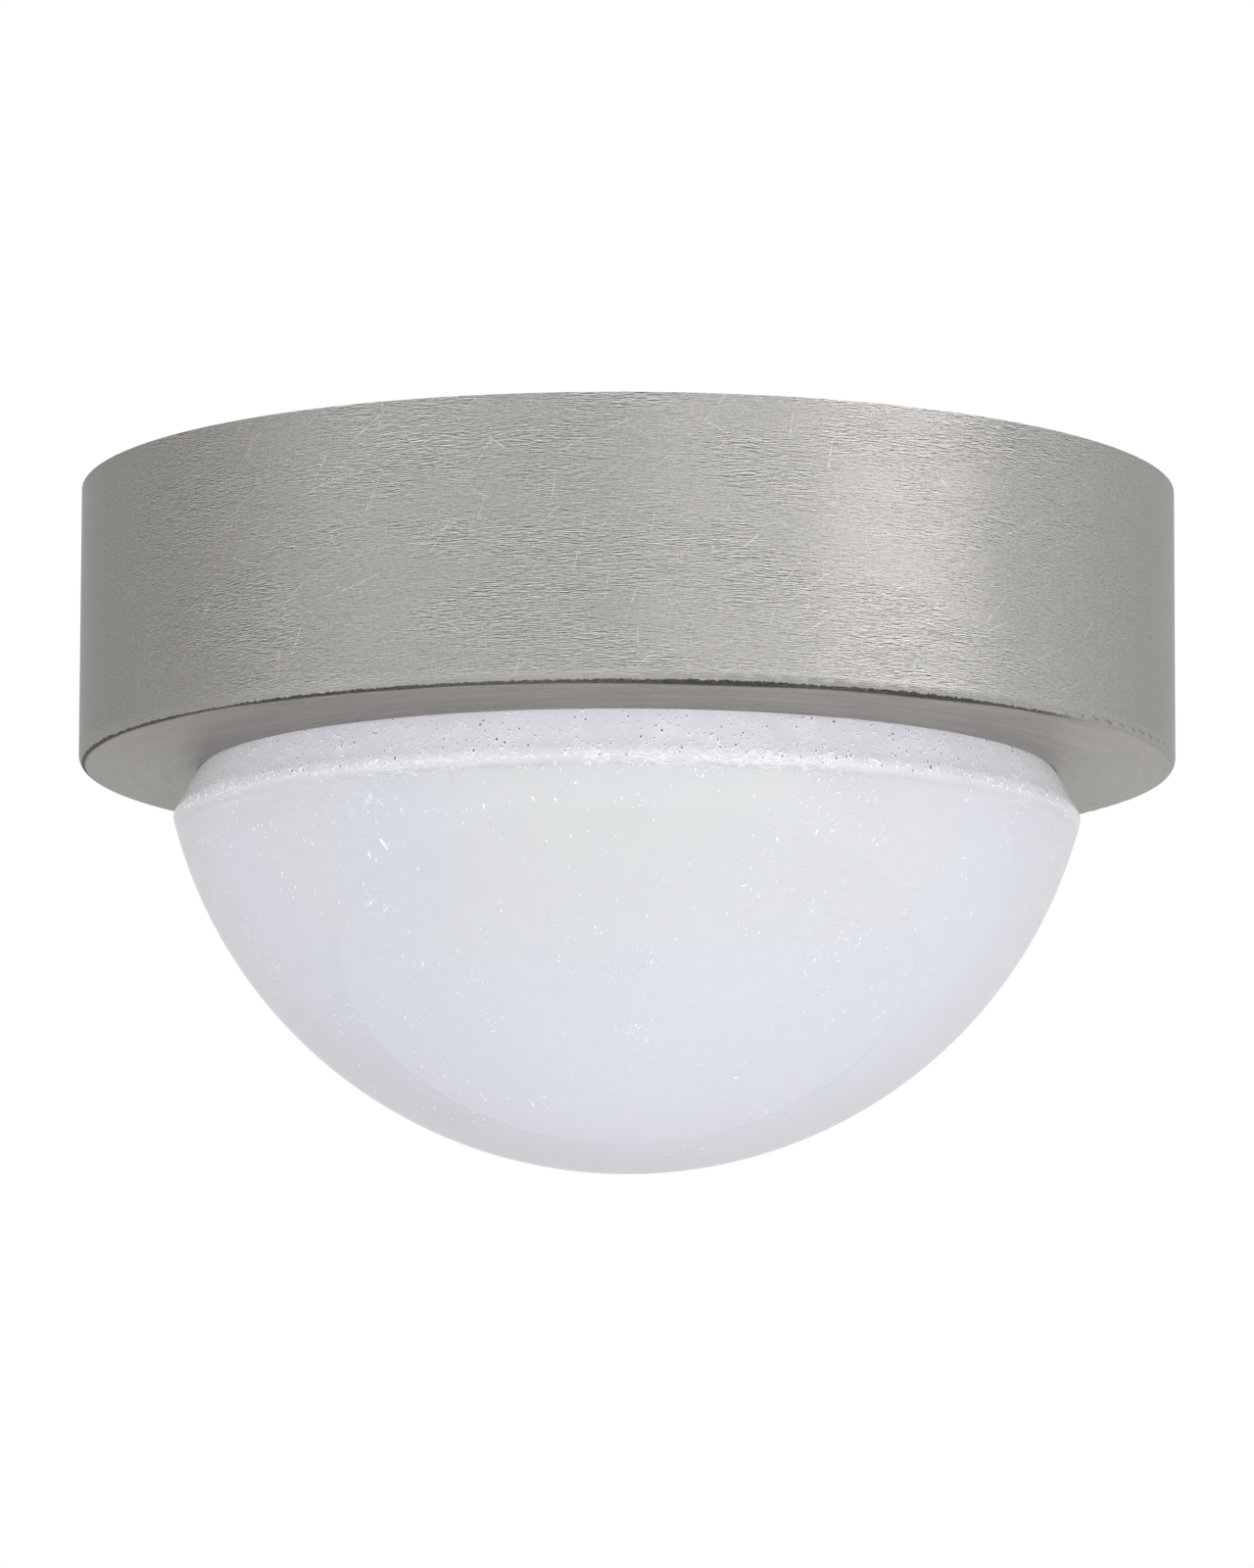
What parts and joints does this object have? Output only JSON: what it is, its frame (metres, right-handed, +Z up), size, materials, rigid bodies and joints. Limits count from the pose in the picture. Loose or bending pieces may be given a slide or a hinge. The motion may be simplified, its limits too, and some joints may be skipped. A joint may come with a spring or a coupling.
{
  "type": "flush mount ceiling light",
  "caption": "Small flush mount ceiling light: brushed nickel ring, clear seeded glass dome with a white liner that twists off, LED board and driver inside.",
  "frame": {"origin": "the middle of the outlet box pattern, on the ceiling plane", "axes": "+Z up into the ceiling, +X along the mounting strap, +Y towards the driver"},
  "size_m": [0.178, 0.178, 0.1107],
  "materials": {
    "brushed_nickel": "satin nickel plate over drawn steel, brushed round the ring",
    "zinc_steel": "clear zinc plate",
    "white_enamel": "white baked enamel",
    "bare_aluminium": "mill finish",
    "grey_silicone": "matt",
    "white_solder_mask": "semi-gloss",
    "led_phosphor": "semi-gloss silicone",
    "white_nylon": "matt moulded",
    "red_insulation": "satin",
    "black_insulation": "satin",
    "white_insulation": "satin",
    "green_insulation": "satin",
    "black_rubber": "matt",
    "white_plastic": "fine spark texture",
    "green_circuit_board": "semi-gloss",
    "capacitor_sleeve": "shrink sleeve",
    "ferrite": "matt",
    "chip_epoxy": "matt",
    "plated_brass": "bright",
    "tinned_copper": "tin plate",
    "green_screw": "green dyed zinc",
    "seeded_glass": "clear, full of small seed bubbles",
    "white_liner": "smooth translucent white",
    "clear_adhesive": "clear silicone"
  },
  "bodies": {
    "fixture": {"housing_ring": "brushed_nickel", "weld_studs": "zinc_steel", "stud_nuts": "zinc_steel", "pan": "white_enamel", "bayonet_ring": "zinc_steel", "bayonet_rivets": "bare_aluminium", "thermal_pad": "grey_silicone", "led_board": "white_solder_mask", "led_chips": "led_phosphor", "board_screws": "zinc_steel", "board_connector": "white_nylon", "positive_lead": "red_insulation", "negative_lead": "black_insulation", "line_lead": "black_insulation", "neutral_lead": "white_insulation", "earth_lead": "green_insulation", "lead_grommet": "black_rubber", "driver_case": "white_plastic", "driver_cover": "white_plastic", "driver_board": "green_circuit_board", "driver_capacitors": "capacitor_sleeve", "driver_transformer": "ferrite", "driver_choke": "ferrite", "driver_chips": "chip_epoxy", "driver_screws": "zinc_steel", "terminal_block": "white_nylon", "terminal_clamps": "plated_brass", "terminal_screws": "zinc_steel", "terminal_fixing_screws": "zinc_steel", "earth_washer": "zinc_steel", "earth_lug": "tinned_copper", "earth_screw": "zinc_steel", "mounting_strap": "zinc_steel", "strap_ground_screw": "green_screw", "fixture_screws": "zinc_steel"},
    "shade": {"glass_dome": "seeded_glass", "diffuser": "white_liner", "diffuser_pads": "clear_adhesive", "fitter_ring": "bare_aluminium", "fitter_sealant": "clear_adhesive"}
  },
  "joints": [
    {"name": "shade_twist", "type": "hinge", "parent": "fixture", "child": "shade", "pos_m": [0, 0, -0.0378], "axis": [0, 0, 1], "range_deg": [-25, 0]}
  ]
}
